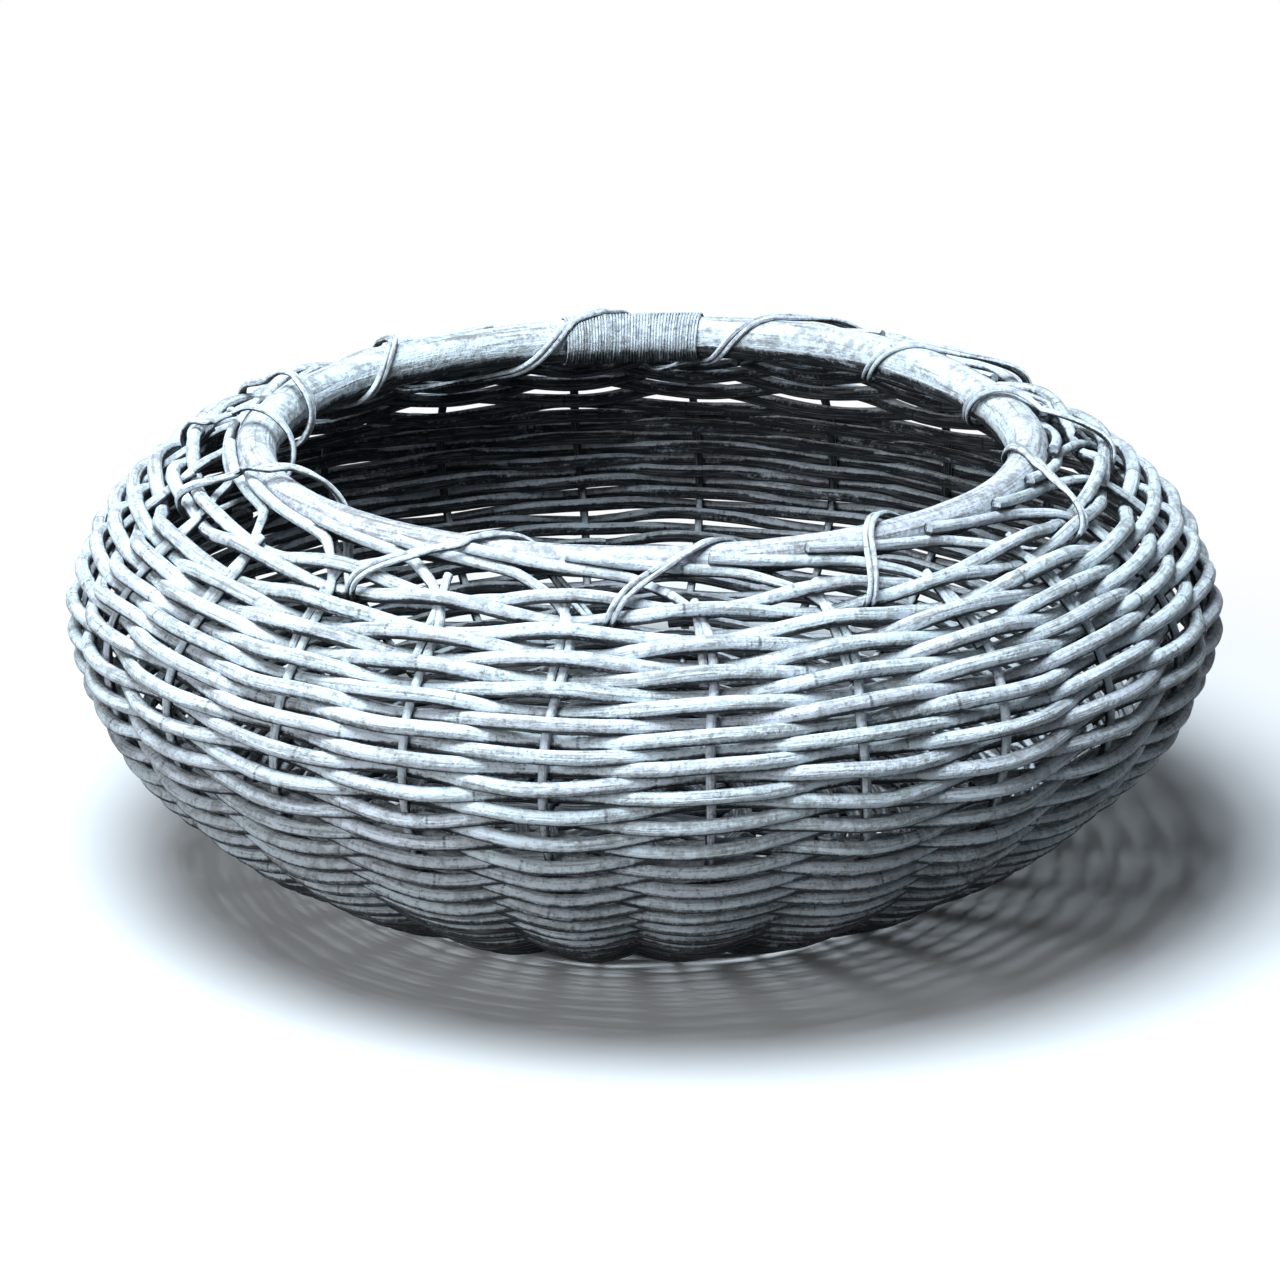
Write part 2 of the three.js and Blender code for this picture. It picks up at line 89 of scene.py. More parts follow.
class BasketShape(bpy.types.PropertyGroup):
    """The wall, measured to the middle of the uprights, and the ring of the rim pole"""

    belly_radius: length(0.291, "Radius of the wall where it is widest")
    belly_height: length(0.150, "Height at which the wall is widest")
    base_radius: length(0.148, "Radius of the edge that the basket stands on")
    base_dome: length(0.008, "How far the middle of the base stands above its edge")
    lower_sweep: length(0.070, "How far the wall runs outwards before it turns up")
    lower_rise: bpy.props.FloatProperty(
        description="Angle above level at which the wall leaves the base",
        default=math.radians(15),
        subtype="ANGLE",
    )
    lower_bulge: length(0.066, "Length of the curve's pull below the belly")
    upper_bulge: length(0.046, "Length of the curve's pull above the belly")
    shoulder_run: length(0.009, "How far the curve's pull at the border runs outwards")
    shoulder_drop: length(0.0018, "How far the curve's pull at the border runs down")
    border_above_rim: length(0.001, "Height of the uprights' ends above the rim pole")
    rim_radius: length(0.1995, "Radius of the rim pole's ring")
    rim_height: length(0.231, "Height of the rim pole's middle")
    scarf_length: length(0.056, "Length of the slanting joint of the rim pole")


class BasketCanes(bpy.types.PropertyGroup):
    """Diameters of the canes"""

    pole: length(0.024, "Diameter of the rim pole")
    rod: length(0.005, "Diameter of the base rods and uprights")
    bye_stake: length(0.0046, "Diameter of the stakes beside the uprights")
    lower: length(0.0057, "Diameter of the lowest canes of the wall")
    upper: length(0.0085, "Diameter of the highest canes of the wall")
    band: length(0.0074, "Diameter of the canes of the border")
    foot: length(0.008, "Diameter of the canes that the basket stands on")
    base: length(0.0072, "Diameter of the canes of the base")
    lashing: length(0.003, "Diameter of the canes that bind the rim")
    whipping: length(0.0015, "Diameter of the cane wound round the rim pole's joint")


class BasketLaying(bpy.types.PropertyGroup):
    """How the canes are laid"""

    clearance: length(0.0004, "Space between canes that bear on each other")
    rows: bpy.props.IntProperty(description="Rows of weaving in the wall", default=43, min=2)
    row_growth: amount(1.33, "How much wider the rows are spaced at the top than at the bottom")
    foot_gap: length(0.0004, "Space between the foot and the first row")
    band_pitch: length(0.0079, "Distance between the two rounds of the border")
    base_pitch: length(0.0078, "Distance between rounds of the base")
    bye_stake_start: length(0.052, "Where the bye-stakes start above the belly")
    bye_stake_end: length(0.006, "How far they reach past the middle of the border")
    aside_run: length(0.024, "Length over which an upright steps aside for its bye-stake")
    border_reach: amount(1.9, "Spaces that the uprights' ends lean over")
    lap: amount(0.16, "Spaces by which two canes of a strand pass each other inside the wall")
    snug: amount(0.86, "Share of its room beside the uprights that a weaver takes")
    arch: length(0.0030, "How far a weaver of the back wall rides up or down as it passes an upright")
    waver: length(0.0040, "How far the rows stray from level")
    flutter: length(0.0024, "How far they stray within a few rows")
    lean: amount(0.14, "How far the uprights lean, in spaces between them")
    parting: length(0.0024, "How far the rows give way where a lashing goes through")
    widening: amount(0.016, "How much wider than round the finished wall is, as a share")
    onesided: amount(0.012, "How much more of that is on the right")
    uneven_rim: length(0.005, "How much higher the rim is at the back, right of its joint")
    front_pole: amount(0.68, "Share of its thickness that the rim pole has at the front")
    tail: amount(1.22, "How much thicker than elsewhere the uprights are at their ends")


class BasketFinish(bpy.types.PropertyGroup):
    """Colours of the worn whitewash and of the cane under it; the bare cane's colour is also painted shade"""

    wash: tint((0.74, 0.85, 0.92), "Fresh whitewash")
    lilac: tint((0.64, 0.65, 0.76), "Whitewash where it has aged")
    thin: tint((0.25, 0.255, 0.25), "Whitewash rubbed thin")
    # Weathered cane, and painted shade too: it shows on undersides, inner sides and canes set in from the
    # wall's middle.
    bare: tint((0.026, 0.030, 0.036), "Weathered cane without wash")
    dirt: tint((0.012, 0.012, 0.014), "Dirt in pores and rings")


GROUPS = {
    "basket_shape": BasketShape,
    "basket_canes": BasketCanes,
    "basket_laying": BasketLaying,
    "basket_finish": BasketFinish,
}


# Small maths

def share(value, low, high):
    """How far value is on its way from low to high, from 0 to 1."""
    return min(1.0, max(0.0, (value - low) / (high - low)))


def ease(t):
    return t * t * (3 - 2 * t)


def mix(a, b, t):
    return a + (b - a) * t


def turned(angle, p):
    """A point or direction of the profile's plane, turned to an angle about the basket's axis."""
    return Vector((p[0] * math.cos(angle), p[0] * math.sin(angle), p[1]))


def bezier(a, b, c, d, steps):
    points = []
    for i in range(steps + 1):
        t = i / steps
        u = 1 - t
        points.append(a * u ** 3 + b * 3 * u * u * t + c * 3 * u * t * t + d * t ** 3)
    return points


class Stop:
    """A place on a cane's route: the way that faces out there, how far out of the wall's middle it is, and
    how far it stands off what it lies on."""

    def __init__(self, at, facing, depth=0.0, off=0.0):
        self.at = at
        self.facing = facing
        self.depth = depth
        self.off = off

    def moved(self, at):
        return Stop(at, self.facing, self.depth, self.off)

    def towards(self, other, t):
        facing = self.facing.lerp(other.facing, t)
        return Stop(
            self.at.lerp(other.at, t), facing, mix(self.depth, other.depth, t), mix(self.off, other.off, t)
        )


def respaced(stops, spacing):
    """The same route with stops at even spaces."""
    steps = [(b.at - a.at).length for a, b in zip(stops, stops[1:])]
    reached = [0.0, *accumulate(steps)]
    count = max(2, round(reached[-1] / spacing))
    even = []
    i = 0
    for k in range(count + 1):
        along = reached[-1] * k / count
        while i < len(steps) - 1 and reached[i + 1] < along:
            i += 1
        even.append(stops[i].towards(stops[i + 1], share(along, reached[i], reached[i + 1])))
    return even


def softened(stops, passes):
    """The same route with its bends eased, as a springy cane takes them."""
    for _ in range(passes):
        eased = [b.moved((a.at + b.at * 2 + c.at) / 4) for a, b, c in zip(stops, stops[1:], stops[2:])]
        stops = [stops[0], *eased, stops[-1]]
    return stops


# The wall

class Wall:
    """Where a place on the basket's wall lies, from the middle of the base up to the border."""

    samples = 160
    foot_flat = 0.0008  # worn off the foot canes where they stand
    whipping_room = 0.00212  # from the rim pole to the outside of its whipping
    tail_spacing = 0.0011  # between the uprights' ends as they pass each other
    parting_width = 0.011  # how far to each side a lashing pushes the rows apart
    parting_height = 0.014  # how far up and down it does so
    parting_edge = 0.002  # over which the rows go from giving way upwards to giving way downwards
    free_heights = (0.03, 0.14)  # from where the wall is out of round, and from where it is so in full
    rim_heights = (0.15, 0.23)  # the same for the part where the rim is raised
    raised_at = 0.95  # the angle of that part
    raised_width = 0.55
    three_sided = 0.004  # how far the wall bulges on three sides, as a share

    def __init__(self, scene):
        self.shape = shape = scene.basket_shape
        self.canes = canes = scene.basket_canes
        self.laying = laying = scene.basket_laying
        self.rod = canes.rod / 2
        self.pole = canes.pole / 2
        foot = canes.foot / 2
        foot_spacing = 2 * shape.base_radius * math.sin(BAY / 2)
        needed = self.rod + foot + laying.clearance
        foot_swing = needed / math.sqrt(1 - (2 * needed / foot_spacing) ** 2)
        self.rod_height = foot_swing + foot - self.foot_flat
        self.whipping_reach = self.pole + self.whipping_room
        self.pole_centre = Vector((shape.rim_radius, shape.rim_height))
        self.border = Vector((
            shape.rim_radius + self.whipping_reach + laying.clearance + self.rod,
            shape.rim_height + shape.border_above_rim,
        ))
        edge = Vector((shape.base_radius, self.rod_height))
        belly = Vector((shape.belly_radius, shape.belly_height))
        leaving = Vector((math.cos(shape.lower_rise), math.sin(shape.lower_rise)))
        middle = Vector((0, self.rod_height + shape.base_dome))
        base = [middle.lerp(edge, i / self.samples) for i in range(self.samples)]
        lower = bezier(
            edge, edge + leaving * shape.lower_sweep,
            belly - Vector((0, shape.lower_bulge)), belly, self.samples
        )
        shoulder = self.border + Vector((shape.shoulder_run, -shape.shoulder_drop))
        upper = bezier(belly, belly + Vector((0, shape.upper_bulge)), shoulder, self.border, self.samples)
        self.points = base + lower + upper[1:]
        steps = [(b - a).length for a, b in zip(self.points, self.points[1:])]
        self.reached = [0.0, *accumulate(steps)]
        self.edge_along = self.reached[self.samples]
        self.belly_along = self.reached[2 * self.samples]
        self.length = self.reached[-1]
        self.place_rows()

    def place_rows(self):
        canes, laying = self.canes, self.laying
        self.group_half = (self.rod + canes.bye_stake / 2 + laying.clearance) / 2
        self.tail_start = laying.band_pitch / 2 + canes.band / 2 + self.rod
        self.tail_rise = canes.rod + self.tail_spacing
        tail = self.tail_start + laying.clearance + laying.border_reach * self.tail_rise
        self.band_along = self.length - tail
        self.top_row = self.band_along - (laying.band_pitch + canes.band + canes.upper) / 2
        self.first_row = self.edge_along + canes.foot / 2 + laying.foot_gap + canes.lower / 2
        self.bye_stake_along = self.belly_along + laying.bye_stake_start
        self.doorway = (laying.band_pitch + canes.band + canes.lashing) / 2

    def pole_at(self, angle):
        """The middle and the radius of the rim pole, which is thinner at the front but as high there."""
        thickness = mix(1.0, self.laying.front_pole, ease(share(-math.sin(angle), -0.3, 1.0)))
        radius = self.pole * thickness
        return self.pole_centre + Vector((0, self.pole - radius)), radius

    def row_along(self, row):
        """Where a row lies. Rows are spaced wider towards the top."""
        growth = (self.laying.row_growth - 1) / 2
        u = row / self.laying.rows
        return mix(self.first_row, self.top_row, (u + growth * u * u) / (1 + growth))

    def profile(self, along):
        """Distance from the axis and height of a place on the wall."""
        low, high = 0, len(self.reached) - 1
        while high - low > 1:
            half = (low + high) // 2
            low, high = (half, high) if self.reached[half] <= along else (low, half)
        t = (along - self.reached[low]) / (self.reached[high] - self.reached[low])
        return self.points[low].lerp(self.points[high], t)

    def section(self, along, out=0.0):
        """A place out of the wall's middle, and the way that faces out, in the profile's plane."""
        forward = (self.profile(along + self.rod) - self.profile(along - self.rod)).normalized()
        facing = Vector((forward.y, -forward.x))
        return self.profile(along) + facing * out, facing

    def stray(self, angle, along):
        """How far hand work strays there: along the wall, and round it as an angle."""
        held = ease(share(along, self.edge_along - 0.01, self.edge_along + 0.06))
        held *= ease(share(along, self.top_row, self.top_row - 0.05))
        x, y = math.cos(angle), math.sin(angle)
        slow = noise.noise(Vector((1.9 * x, 1.9 * y, 11 * along + 3.1)))
        quick = noise.noise(Vector((5.3 * x, 5.3 * y, 34 * along + 9.7)))
        round_wall = noise.noise(Vector((2.6 * x + 7.3, 2.6 * y, 8 * along)))
        rows = self.laying.waver * slow + self.laying.flutter * quick
        return held * rows + self.parted(angle, along), held * self.laying.lean * BAY * round_wall

    def parted(self, angle, along):
        """How far the rows give way along the wall to the lashings that go through it."""
        if along < self.top_row - 0.08:
            return 0.0
        given = 0.0
        for hole, _, _, drop in LASHING_TURNS:
            around = math.remainder(angle - hole * BAY, 2 * math.pi) * self.shape.rim_radius
            around /= self.parting_width
            above = along - (self.band_along - self.doorway - drop)
            if abs(around) < 3:
                side = above / (abs(above) + self.parting_edge)
                given += side * math.exp(-around * around - abs(above) / self.parting_height)
        return self.laying.parting * given

    def bent(self, at):
        """A point of the round basket, moved as the real one has settled out of round."""
        laying = self.laying
        angle = math.atan2(at.y, at.x)
        raised = ease(share(at.z, *self.free_heights))
        wider = laying.widening + laying.onesided * math.cos(angle)
        wider += self.three_sided * math.cos(3 * angle + 0.6)
        lift = laying.uneven_rim * math.exp(-((angle - self.raised_at) / self.raised_width) ** 2)
        scale = 1 + raised * wider
        return Vector((at.x * scale, at.y * scale, at.z + lift * ease(share(at.z, *self.rim_heights))))

    def place(self, angle, p, facing, depth=0.0):
        """The stop at a point of the profile's plane, turned to an angle."""
        return Stop(self.bent(turned(angle, p)), turned(angle, facing), depth)

    def stop(self, angle, along, out=0.0):
        """The stop of a cane at an angle and a place on the wall."""
        sag, lean = self.stray(angle, along)
        p, facing = self.section(along + sag, out)
        return self.place(angle + lean, p, facing, min(out, 0.0))

    def swing(self, cane_radius, along, groups, half):
        """How far a cane swings to each side to pass groups of uprights 2 * half wide between centres."""
        spacing = 2 * math.pi * self.profile(along).x / groups
        needed = self.rod + cane_radius + self.laying.clearance
        return needed / math.cos(math.pi * min(0.3, half / spacing))

    def stakes_beside(self, along):
        start = self.bye_stake_along - self.laying.aside_run - self.canes.upper
        return self.group_half * ease(share(along, start, self.bye_stake_along))

    def step_aside(self, along):
        asked = share(along, self.bye_stake_along - self.laying.aside_run, self.bye_stake_along)
        return ease(asked) * self.group_half / self.profile(along).x


# Making pieces

JOINT_SPACING = 0.19
JOINT_SWELL = 0.07
JOINT_LENGTH = 0.003
UNEVEN_SWING = 0.14
PASSING = 1.1  # how far apart two canes of a strand lie where they pass each other, in their radii


def joint_swell(along):
    """How much thicker a cane is near the rings where leaves grew, by the distance along it."""
    away = abs(along / JOINT_SPACING - math.floor(along / JOINT_SPACING) - 0.5) * JOINT_SPACING
    return JOINT_SWELL * math.exp(-(away / JOINT_LENGTH) ** 2)


def draw_cane(name, route, sides, closed=False):
    """A round cane. Its route is its stops, the radius at each, and where its grain starts."""
    stops, radii, grain_start = route
    bpy.ops.object.select_all(action="DESELECT")
    bpy.ops.curve.primitive_nurbs_path_add()
    curve = bpy.context.object.data
    curve.splines.clear()
    curve.dimensions = "3D"
    curve.bevel_depth = 1.0
    curve.bevel_resolution = sides // 2 - 2
    curve.use_fill_caps = not closed
    spline = curve.splines.new("POLY")
    spline.points.add(len(stops) - 1)
    spline.points.foreach_set("co", [c for stop in stops for c in (*stop.at, 1.0)])
    spline.points.foreach_set("radius", radii)
    spline.use_cyclic_u = closed
    bpy.ops.object.convert(target="MESH")
    piece = bpy.context.object
    piece.name = name
    piece.data.name = name
    stretch_grain(piece.data, stops, grain_start)
    record_wash_and_painted_shade(piece.data, stops)
    bpy.ops.object.mode_set(mode="EDIT")
    bpy.ops.mesh.select_all(action="SELECT")
    bpy.ops.mesh.remove_doubles(threshold=1e-6)
    bpy.ops.mesh.normals_make_consistent(inside=False)
    bpy.ops.object.mode_set(mode="OBJECT")
    bpy.ops.object.shade_smooth_by_angle(angle=math.radians(50))
    return piece


def stretch_grain(mesh, stops, grain_start):
    """Gives the UV map metres along the cane, so that its grain is the same on long and short canes."""
    cane_length = sum((b.at - a.at).length for a, b in zip(stops, stops[1:]))
    for uv in mesh.uv_layers[0].uv:
        uv.vector.x = uv.vector.x * cane_length + grain_start


def record_wash_and_painted_shade(mesh, stops):
    """Records how much whitewash reached each vertex, brushed on from above and outside, and at the bottom
    through the mouth. The same number also paints light and shade: less on undersides, inner sides and canes
    set in from the wall's middle, and more on the tops of the lower wall's canes."""
    tree = kdtree.KDTree(len(stops))
    for i, stop in enumerate(stops):
        tree.insert(stop.at, i)
    tree.balance()
    reached = []
    for vertex in mesh.vertices:
        stop = stops[tree.find(vertex.co)[1]]
        offset = (vertex.co - stop.at).normalized()
        # Besides wash, these sums paint shade on inner sides, on canes set in from the wall's middle and on
        # undersides, and light on the tops of the lower wall's canes.
        from_outside = 0.60 * offset.dot(stop.facing) + 90 * stop.depth
        from_above = 0.60 * offset.z - 0.35 * max(0.0, -stop.facing.z)
        from_mouth = 6.0 * max(0.0, offset.z) * max(0.0, -stop.facing.z) * (1.0 + stop.facing.z)
        reached.append(ease(share(from_outside + from_above + from_mouth, -0.05, 0.55)))
    # The attribute named wash holds whitewash and painted light and shade together.
    mesh.attributes.new("wash", "FLOAT", "POINT").data.foreach_set("value", reached)


def thickened(stops, radius_at, grain_start, variation=0.10):
    """A route with the radius at each of its stops, which varies as grown cane does."""
    steps = [(b.at - a.at).length for a, b in zip(stops, stops[1:])]
    radii = []
    for i, along in enumerate([0.0, *accumulate(steps)]):
        grain = grain_start + along
        growth = 1 + variation * noise.noise(Vector((grain * 7, 3.7, 0)))
        growth += 0.6 * variation * noise.noise(Vector((grain * 46, 8.1, 0)))
        radii.append(radius_at(i / len(steps)) * (growth + joint_swell(grain)))
    return stops, radii, grain_start


def surface_of(names):
    """The surface of pieces that are already made, to lay a cane on."""
    vertices = []
    faces = []
    for name in names:
        mesh = bpy.data.objects[f"{name}_cane"].data
        start = len(vertices)
        vertices += [vertex.co.copy() for vertex in mesh.vertices]
        faces += [[start + i for i in polygon.vertices] for polygon in mesh.polygons]
    return BVHTree.FromPolygons(vertices, faces)


def drawn_tight(stops, radius, surface, passes):
    """The same route pulled tight over a surface, and lifted off wherever it would sink in."""
    for _ in range(passes):
        stops = softened(stops, 2)
        for stop in stops[1:-1]:
            near, normal, _, _ = surface.find_nearest(stop.at, 0.02)
            if near is not None and (stop.at - near).dot(normal) < radius + stop.off:
                stop.at = near + normal * (radius + stop.off)
    return stops


def place_piece(piece, node, slot, materials):
    piece.data.materials.clear()
    piece.data.materials.append(materials[slot])
    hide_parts(node)
    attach(piece, BODY)


def lay_cane(node, route, sides, slot, materials):
    """Draws the cane that stands for a piece of the solid model."""
    cane = draw_cane(f"{node}_cane", route, sides)
    place_piece(cane, node, slot, materials)
    return cane


def arch(wall, angle, along):
    """How far a weaver of the back wall rides up as it passes inside an upright, and down outside it, which
    closes the wall to somebody who looks in through the mouth."""
    slope = wall.stop(angle, along).facing.z
    at_back = ease(share(math.sin(angle), -0.35, 0.35))
    return wall.laying.arch * at_back * ease(share(slope, -0.34, 0.12)) * ease(share(slope, 0.35, 0.28))


def weave_route(wall, first, last, strand, along, radius, groups=UPRIGHTS, half=lambda along: 0.0, laps=0.0):
    """The stops of a cane that passes one group of uprights outside and the next inside."""
    per_bay = 16
    start = FIRST_UPRIGHT if groups == UPRIGHTS else 0.0
    space = 2 * math.pi / groups
    count = round((last - first + 2 * laps) * per_bay)
    stops = []
    for k in range(count + 1):
        i = first - laps + (last - first + 2 * laps) * k / count
        where = along(i)
        swing = wall.laying.snug * wall.swing(radius(i), where, groups, half(where))
        swing *= 1 + UNEVEN_SWING * noise.noise(Vector((i * 0.9, where * 60, 5.1 + strand)))
        past = ease(share(i, last - 0.7, last + laps)) - ease(share(i, first + 0.7, first - laps))
        if laps:
            where -= past * radius(i) * PASSING
        side = math.cos(math.pi * (i + strand))
        angle = start + i * space
        stops.append(wall.stop(angle, where - side * arch(wall, angle, where), side * swing))
    return stops


# Materials

class Flow:
    """A value or colour on its way through a material's nodes."""

    def __init__(self, recipe, socket):
        self.recipe = recipe
        self.socket = socket

    def __add__(self, other):
        return self.recipe.maths("ADD", self, other)

    def __sub__(self, other):
        return self.recipe.maths("SUBTRACT", self, other)

    def __rsub__(self, other):
        return self.recipe.maths("SUBTRACT", other, self)

    def __mul__(self, other):
        return self.recipe.maths("MULTIPLY", self, other)

    def __truediv__(self, other):
        return self.recipe.maths("DIVIDE", self, other)


class Recipe:
    """The nodes of a material or of the world, made one by one."""

    def __init__(self, owner):
        owner.use_nodes = True
        self.tree = owner.node_tree
        self.tree.nodes.clear()

    def node(self, kind, settings=None, **inputs):
        """A node of that kind. Its settings are set first, then the values or links of its inputs."""
        made = self.tree.nodes.new("ShaderNode" + kind)
        for name, value in (settings or {}).items():
            setattr(made, name, value)
        for name, value in inputs.items():
            socket = self.find(made.inputs, name)
            if isinstance(value, Flow):
                self.tree.links.new(value.socket, socket)
            else:
                socket.default_value = value
        return made

    @staticmethod
    def find(sockets, name):
        plain = name.replace("_", " ").lower()
        return next(s for s in sockets if s.enabled and plain in (s.name.lower(), s.identifier.lower()))

    def out(self, node, name=None):
        if name is None:
            return Flow(self, next(s for s in node.outputs if s.enabled))
        return Flow(self, self.find(node.outputs, name))

    def maths(self, operation, *values, clamp=False):
        made = self.tree.nodes.new("ShaderNodeMath")
        made.operation = operation
        made.use_clamp = clamp
        for socket, value in zip(made.inputs, values):
            if isinstance(value, Flow):
                self.tree.links.new(value.socket, socket)
            else:
                socket.default_value = value
        return Flow(self, made.outputs[0])

    def clamp(self, value):
        return self.maths("ADD", value, 0.0, clamp=True)

    def between(self, value, low, high):
        """0 below low, 1 above high, and a smooth step between them."""
        settings = {"interpolation_type": "SMOOTHSTEP"}
        return self.out(self.node("MapRange", settings, value=value, from_min=low, from_max=high))

    def vector(self, x, y, z):
        return self.out(self.node("CombineXYZ", x=x, y=y, z=z))

    def blend(self, a, b, factor):
        """Colour a turned into colour b by the factor."""
        made = self.node("Mix", {"data_type": "RGBA"})
        wanted = {"Factor_Float": factor, "A_Color": self.colour(a), "B_Color": self.colour(b)}
        for socket in made.inputs:
            value = wanted.get(socket.identifier)
            if isinstance(value, Flow):
                self.tree.links.new(value.socket, socket)
            elif value is not None:
                socket.default_value = value
        return Flow(self, next(s for s in made.outputs if s.identifier == "Result_Color"))

    @staticmethod
    def colour(value):
        return value if isinstance(value, Flow) else (*value[:3], 1.0)

    def mixed(self, a, b, factor):
        """Shader a turned into shader b by the factor."""
        made = self.node("MixShader", fac=factor)
        self.tree.links.new(a.outputs[0], made.inputs[1])
        self.tree.links.new(b.outputs[0], made.inputs[2])
        return self.out(made)

    def seen(self):
        """1 where the camera looks, also by way of a reflection, and 0 for what lights the basket."""
        path = self.node("LightPath")
        seen = self.maths("MAXIMUM", self.out(path, "Is Camera Ray"), self.out(path, "Is Glossy Ray"))
        return self.maths("MAXIMUM", seen, self.out(path, "Is Transmission Ray"))

    def noise(self, vector, scale, detail, roughness):
        made = self.node("TexNoise", vector=vector, scale=scale, detail=detail, roughness=roughness)
        return self.out(made, "Fac")


def washed_cane(name, finish, radius, wear=0.5, greying=0.0, grain=1.0, age=0.5, rings=0.6, pores=0.4):
    """Worn whitewash over weathered cane, with painted light and shade carried by the wash attribute. The
    grain follows the UV map, which is metres along the cane.
    """
    material = bpy.data.materials.new(name)
    recipe = Recipe(material)
    uv = recipe.node("SeparateXYZ", vector=recipe.out(recipe.node("UVMap", {"uv_map": "UVMap"})))
    along = recipe.out(uv, "X")
    turn = recipe.out(uv, "Y") * (2 * math.pi)
    across = recipe.maths("COSINE", turn) * radius
    over = recipe.maths("SINE", turn) * radius
    place = recipe.out(recipe.node("TexCoord"), "Object")
    height = recipe.out(recipe.node("SeparateXYZ", vector=place), "Z")
    # The wash attribute: whitewash brushed on, with painted light and shade in it.
    reached = recipe.out(recipe.node("Attribute", {"attribute_name": "wash"}), "Fac")

    def grown(long_scale, round_scale, detail):
        """Noise drawn out along the cane, with those features to a metre along it and round it."""
        stretched = recipe.vector(along * long_scale, across * round_scale, over * round_scale)
        return recipe.noise(stretched, 1.0, detail, 0.58)

    fibres = grown(46 * grain, 780 * grain, 2.0)
    strips = grown(15 * grain, 300 * grain, 3.0)
    patches = grown(34, 120, 3.0)
    chips = recipe.noise(place, 520.0, 3.0, 0.70)
    mottle = recipe.noise(place, 190.0, 3.0, 0.65)
    age_noise = grown(2.3, 30, 2.0)

    # Wash stays where it was brushed on, less where fibres stand out and where it has worn. Where the
    # attribute paints shade, the dark bare colour shows as painted shade.
    kept = reached * 1.15 + 0.06 - (patches - 0.5) * (1.3 * wear) - (strips - 0.5) * (1.4 * wear)
    kept = kept - (mottle - 0.5) * (0.9 * wear) - (chips - 0.5) * (1.2 * wear)
    cover_and_painted_shade = recipe.between(kept - (fibres - 0.5) * (1.2 * wear), 0.16, 0.62)

    fresh = recipe.blend(finish.wash, finish.lilac, recipe.between(age_noise, 0.42, 0.62) * age)
    worn = patches * 0.45 + mottle * 0.55
    fresh = recipe.blend(fresh, finish.thin, recipe.between(worn, 0.46, 0.62) * (1.2 * wear))
    # Greyer towards the bottom of the basket, and greyer all over by greying.
    low = recipe.between(height, 0.135, 0.02) * 0.36 + greying
    fresh = recipe.blend(fresh, finish.thin, recipe.clamp(low))
    streaks = strips * 0.40 + fibres * 0.35 + chips * 0.25
    streak = recipe.between(streaks, 0.49, 0.60) * (1.5 * wear)
    fresh = recipe.blend(fresh, finish.thin, recipe.clamp(streak))
    bare = recipe.blend(finish.bare, finish.thin, recipe.between(fibres, 0.47, 0.68) * 0.5)
    colour = recipe.blend(bare, fresh, cover_and_painted_shade)

    # Faint rings where leaves grew, and pores, hold dirt.
    rung = recipe.maths("FRACT", along / JOINT_SPACING + (patches - 0.5) * 0.012)
    away = recipe.maths("ABSOLUTE", rung - 0.5) * JOINT_SPACING
    ring = recipe.between(away, 0.0012, 0.0002) * recipe.between(fibres, 0.36, 0.56) * rings
    specks = recipe.between(chips, 0.58, 0.66) * recipe.between(mottle, 0.46, 0.58) * pores
    colour = recipe.blend(colour, finish.dirt, recipe.maths("MAXIMUM", ring, specks))

    relief = fibres * 0.45 + strips * 0.60 + cover_and_painted_shade * 0.25 + mottle * 0.55 + chips * 0.55 - ring * 0.4
    bump = recipe.node("Bump", height=relief, strength=1.0, distance=0.0016)
    shader = recipe.node(
        "BsdfPrincipled",
        base_color=colour,
        roughness=0.88 - cover_and_painted_shade * 0.18 + fibres * 0.10,
        normal=recipe.out(bump),
    )
    shader.inputs["Specular IOR Level"].default_value = 0.18
    recipe.node("OutputMaterial", surface=recipe.out(shader))
    return material


def cane_materials(scene):
    """The finishes, made once and kept by name."""
    finish = scene.basket_finish
    canes = scene.basket_canes
    recipes = {
        "woven_cane": dict(radius=canes.upper / 2, wear=0.50),
        "upright_cane": dict(radius=canes.rod / 2, wear=0.40),
        "base_cane": dict(radius=canes.foot / 2, wear=0.75, greying=0.75),
        "rim_pole": dict(radius=canes.pole / 2, wear=0.60, grain=0.6, age=0.7, rings=0.0, pores=0.15),
        "binding_cane": dict(radius=canes.lashing / 2, wear=0.55, grain=1.2),
    }
    for slot, choices in recipes.items():
        name = f"washed_{slot}"
        if name not in bpy.data.materials:
            washed_cane(name, finish, **choices)
    return {slot: bpy.data.materials[f"washed_{slot}"] for slot in recipes}


# Pieces

class BasketOperator:
    """What the operators share"""

    bl_options = {"REGISTER", "UNDO"}

    def execute(self, context):
        scene = context.scene
        self.build(Wall(scene), cane_materials(scene))
        return {"FINISHED"}


